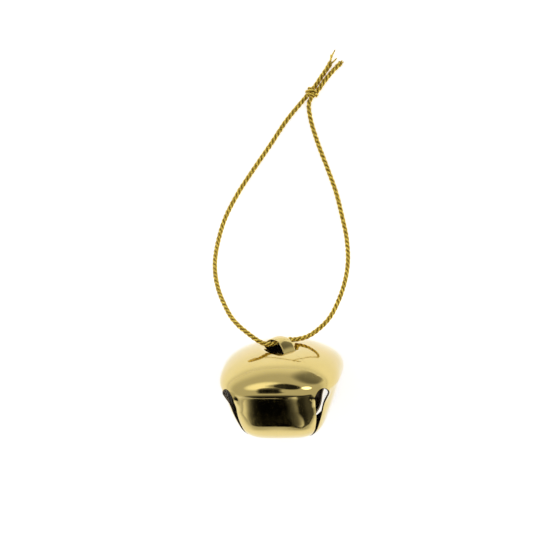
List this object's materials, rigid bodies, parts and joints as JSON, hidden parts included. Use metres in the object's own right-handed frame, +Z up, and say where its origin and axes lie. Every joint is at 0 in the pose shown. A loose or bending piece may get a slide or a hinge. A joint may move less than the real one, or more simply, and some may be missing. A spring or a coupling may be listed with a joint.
{
  "type": "jingle bell ornament",
  "caption": "Gold pressed-metal jingle bell with four folded petals, a bridge loop on its dome and a loop of metallic cord tied in a knot.",
  "frame": {"origin": "on the table, under the middle of the bell's own box, the cord left out", "axes": "+Z up from the table, +Y towards the cord's knot in plan, +X to the right; the bell's axis lies in the YZ plane, 20 degrees over +Y"},
  "size_m": [0.0331, 0.0911, 0.028],
  "materials": {
    "bell_brass": "bright polished plating",
    "pellet_steel": "plain, dull",
    "gold_thread": "twisted metallic foil thread"
  },
  "bodies": {
    "bell": {"bell_shell": "bell_brass"},
    "pellet": {"jingle_pellet": "pellet_steel"},
    "cord": {"cord_loop": "gold_thread", "cord_knot": "gold_thread", "cord_tail_long": "gold_thread", "cord_tail_short": "gold_thread"}
  },
  "joints": [
    {"name": "pellet_roll", "type": "slide", "parent": "bell", "child": "pellet", "axis": [0, 1, 0], "range_m": [-0.001, 0.007]},
    {"name": "cord_swing", "type": "hinge", "parent": "bell", "child": "cord", "pos_m": [0, 0.01066, 0.01665], "axis": [0.766, 0.2198, -0.604], "range_deg": [0, 30]}
  ]
}
